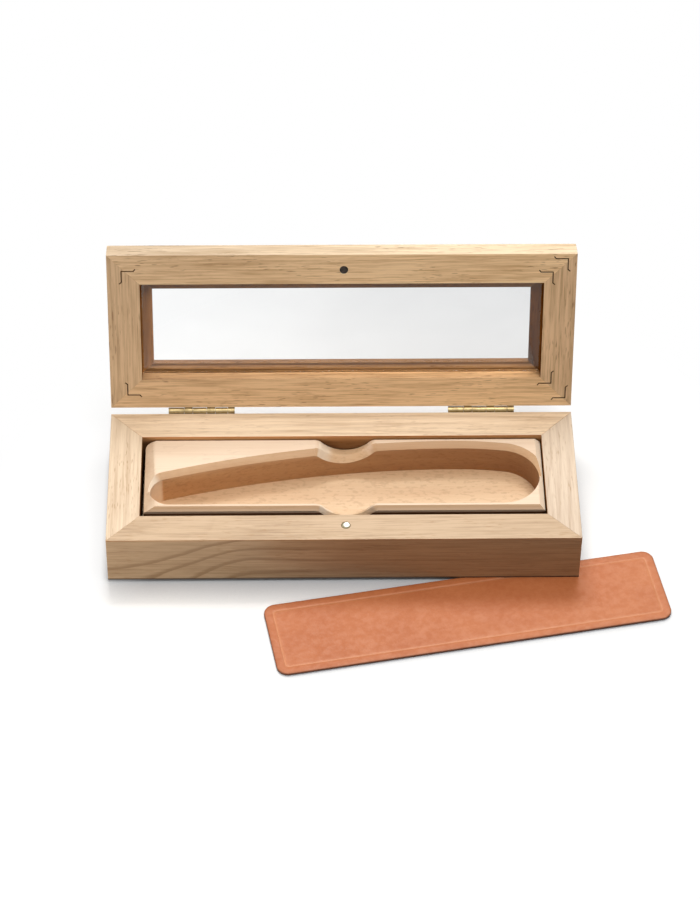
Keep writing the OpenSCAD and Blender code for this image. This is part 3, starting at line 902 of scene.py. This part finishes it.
def dark_ledge_lines():
    """Two dark lines along the back rail's ledge under the glass: place, half width and strength."""
    turned_by = AXIS.y - (Matrix.Rotation(LID_ANGLE, 3, "X") @ AXIS).y
    wall = (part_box("base_rail_back")[1].y - turned_by) / MM - RAIL_WIDTH
    return ((wall - 1.5, 0.55, 0.8), (wall - 4.2, 0.75, 0.9))


def dress_base_rails():
    speck = (0.36, 0.20, 0.09)
    for seed, (node, along) in enumerate(BASE_RAILS.items()):
        light, dark = RAIL_COLOURS[node]
        if node == "base_rail_front":
            # Broad wavy rings, seen only on its outside near the left end
            look = {
                "ring_width": 7.6, "ring_share": 1.0, "ring_start": 0.62, "pith": (16.0, -46.0),
                "rise": (-122.0, -56.0, 26.0), "figure": (-60.0, -5.0),
                # Painted shade on its upright faces, most of all towards the right
                "side": (0.61, 0.535, 0.47), "side_run": (-78.0, -12.0),
            }
        else:
            pith = (34.0 - 17.0 * seed, -52.0 - 9.0 * seed)
            # Painted shade on the upright faces
            look = {"ring_share": 0.30, "pith": pith, "side": (0.80, 0.66, 0.52)}
        material = oak(
            node + "_oak", grain_turn(along, False), seed + 1, light, dark, speck,
            speck_share=0.5 if along == "y" else 0.36, speck_patch=0.42,
            contrast=0.7 if along == "y" else 0.9, foot=True, hollow=HOLLOW_SHADES[node], deep=(26.4, 23.5), **look,
        )
        piece = softened(node, 0.25 * MM, mitre=0.8)
        mark_hollow(piece, Matrix.Identity(4), 1.0)
        dress(piece, material, "base")


def dress_lid_rails():
    speck = (0.22, 0.11, 0.045)
    for seed, (node, along) in enumerate(LID_RAILS.items()):
        light, dark = RAIL_COLOURS[node]
        back = node == "lid_rail_back"
        material = oak(
            node + "_oak", grain_turn(along, True), seed + 11, light, dark, speck,
            ring_share=0.22, pith=(30.0 - 19.0 * seed, -48.0 - 8.0 * seed),
            speck_share=0.62, speck_patch=0.46, dash_share=0.12, contrast=1.15,
            # Painted light, stronger towards the right of the lid
            drift=(-95.0, 50.0, (0.86, 0.80, 0.73), (1.14, 1.08, 0.98)) if along == "x" else None,
            cap=(0.92, 1.02, 1.2) if node == "lid_rail_front" else (0.86, 0.78, 0.70),
            hollow=HOLLOW_SHADES[node], ledge_lines=dark_ledge_lines() if back else (),
        )
        piece = softened(node, 0.25 * MM, SHUT_LID, mitre=0.8)
        mark_hollow(piece, SHUT_LID, 0.25 if back else 1.0)
        dress(piece, material, "lid")


def dress_block():
    material = beech(
        "beech_insert", (0.83, 0.64, 0.465), (0.70, 0.48, 0.315), (0.36, 0.18, 0.08),
        # low, slope and wall are painted shade on the pocket's floor, chamfers and walls
        low=(0.94, 0.86, 0.72), slope=(0.79, 0.66, 0.52), wall=(0.62, 0.50, 0.40), notch=-18.2,
    )
    dress(softened("razor_block", 0.25 * MM, merge=0.04 * MM), material, "block")


def dress_hinges():
    brass = metal(
        "aged_brass", (0.37, 0.28, 0.14), (0.25, 0.185, 0.09), 0.30, direction=(0.3, 2.5, 2.5),
        barrel=((0, AXIS.y / MM, AXIS.z / MM), BARREL_RADIUS),
    )
    pin_steel = metal("pin_steel", (0.26, 0.23, 0.19), (0.13, 0.11, 0.09), 0.4)
    for side in ("left", "right"):
        for body in ("base", "lid"):
            dress(softened(f"hinge_{side}_{body}_leaf", 0.12 * MM, segments=2), brass, body)
        paint(frame["nodes"][f"hinge_{side}_pin"], pin_steel)


def dress_screws():
    """The screws sit in the leaves' countersinks, above and below the hinge's axis on the shut box."""
    screw_brass = metal("screw_brass", (0.46, 0.34, 0.17), (0.26, 0.19, 0.09), 0.28, direction=(2, 2, 2))
    tree = slotted_screw_tree()
    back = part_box("base_rail_back")[1].y + LEAF_THICK
    row = []
    for side in ("left", "right"):
        low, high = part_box(f"hinge_{side}_pin")
        middle = (low.x + high.x) / 2
        row += [Vector((middle + step, back, AXIS.z)) for step in (-SCREW_SPREAD, SCREW_SPREAD)]
    drop = Vector((0, 0, SCREW_DROP))
    base_heads = [p - drop for p in row]
    lid_heads = [SHUT_LID.inverted() @ (p + drop) for p in row]
    base_screws = hinge_screws("base_hinge_screws", tree, screw_brass, base_heads, 0.0, 3)
    dress(base_screws, screw_brass, "base")
    lid_screws = hinge_screws("lid_hinge_screws", tree, screw_brass, lid_heads, -LID_ANGLE, 8)
    dress(lid_screws, screw_brass, "lid")


def dress_catch_and_nails():
    low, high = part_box("catch_magnet")
    # The painted dark rim of shade sits a little off centre, so it is heavier on one side
    shift = 0.35
    centre = ((low.x + high.x) / 2 / MM + shift, (low.y + high.y) / 2 / MM + shift, 0)
    radius = (high.x - low.x) / 2 / MM
    nickel = metal("magnet_nickel", (0.62, 0.62, 0.58), (0.36, 0.36, 0.32), 0.42, rim=(centre, radius))
    dark = metal("dark_steel", (0.060, 0.050, 0.045), (0.030, 0.024, 0.02), 0.45)
    nail_steel = metal("nail_steel", (0.085, 0.045, 0.024), (0.045, 0.022, 0.010), 0.6)
    dress(softened("catch_magnet", 0.15 * MM), nickel, "base")
    dress(softened("catch_keeper", 0.12 * MM), dark, "lid")
    paint(frame["nodes"]["lid_corner_nails"], nail_steel)


def dress_rest():
    light, dark, speck = (0.72, 0.53, 0.32), (0.54, 0.36, 0.19), (0.26, 0.15, 0.07)
    paint(frame["nodes"]["bottom_panel"], oak("bottom_panel_oak", (0, 0, 0), 31, light, dark, speck))
    pane = softened("lid_glass", 0.15 * MM, SHUT_LID)
    pane.visible_shadow = False
    dress(pane, clear_glass("clear_glass"), "lid")
    dress(softened("felt_feet", 0.25 * MM), dark_felt("dark_felt"), "base")
    dress(leather_strip(), tan_leather("tan_leather"), "strip")


make_camera()
make_world()
make_lights()
make_floor()
dress_base_rails()
dress_lid_rails()
dress_block()
dress_hinges()
dress_screws()
dress_catch_and_nails()
dress_rest()

bpy.context.scene.view_settings.view_transform = "Standard"
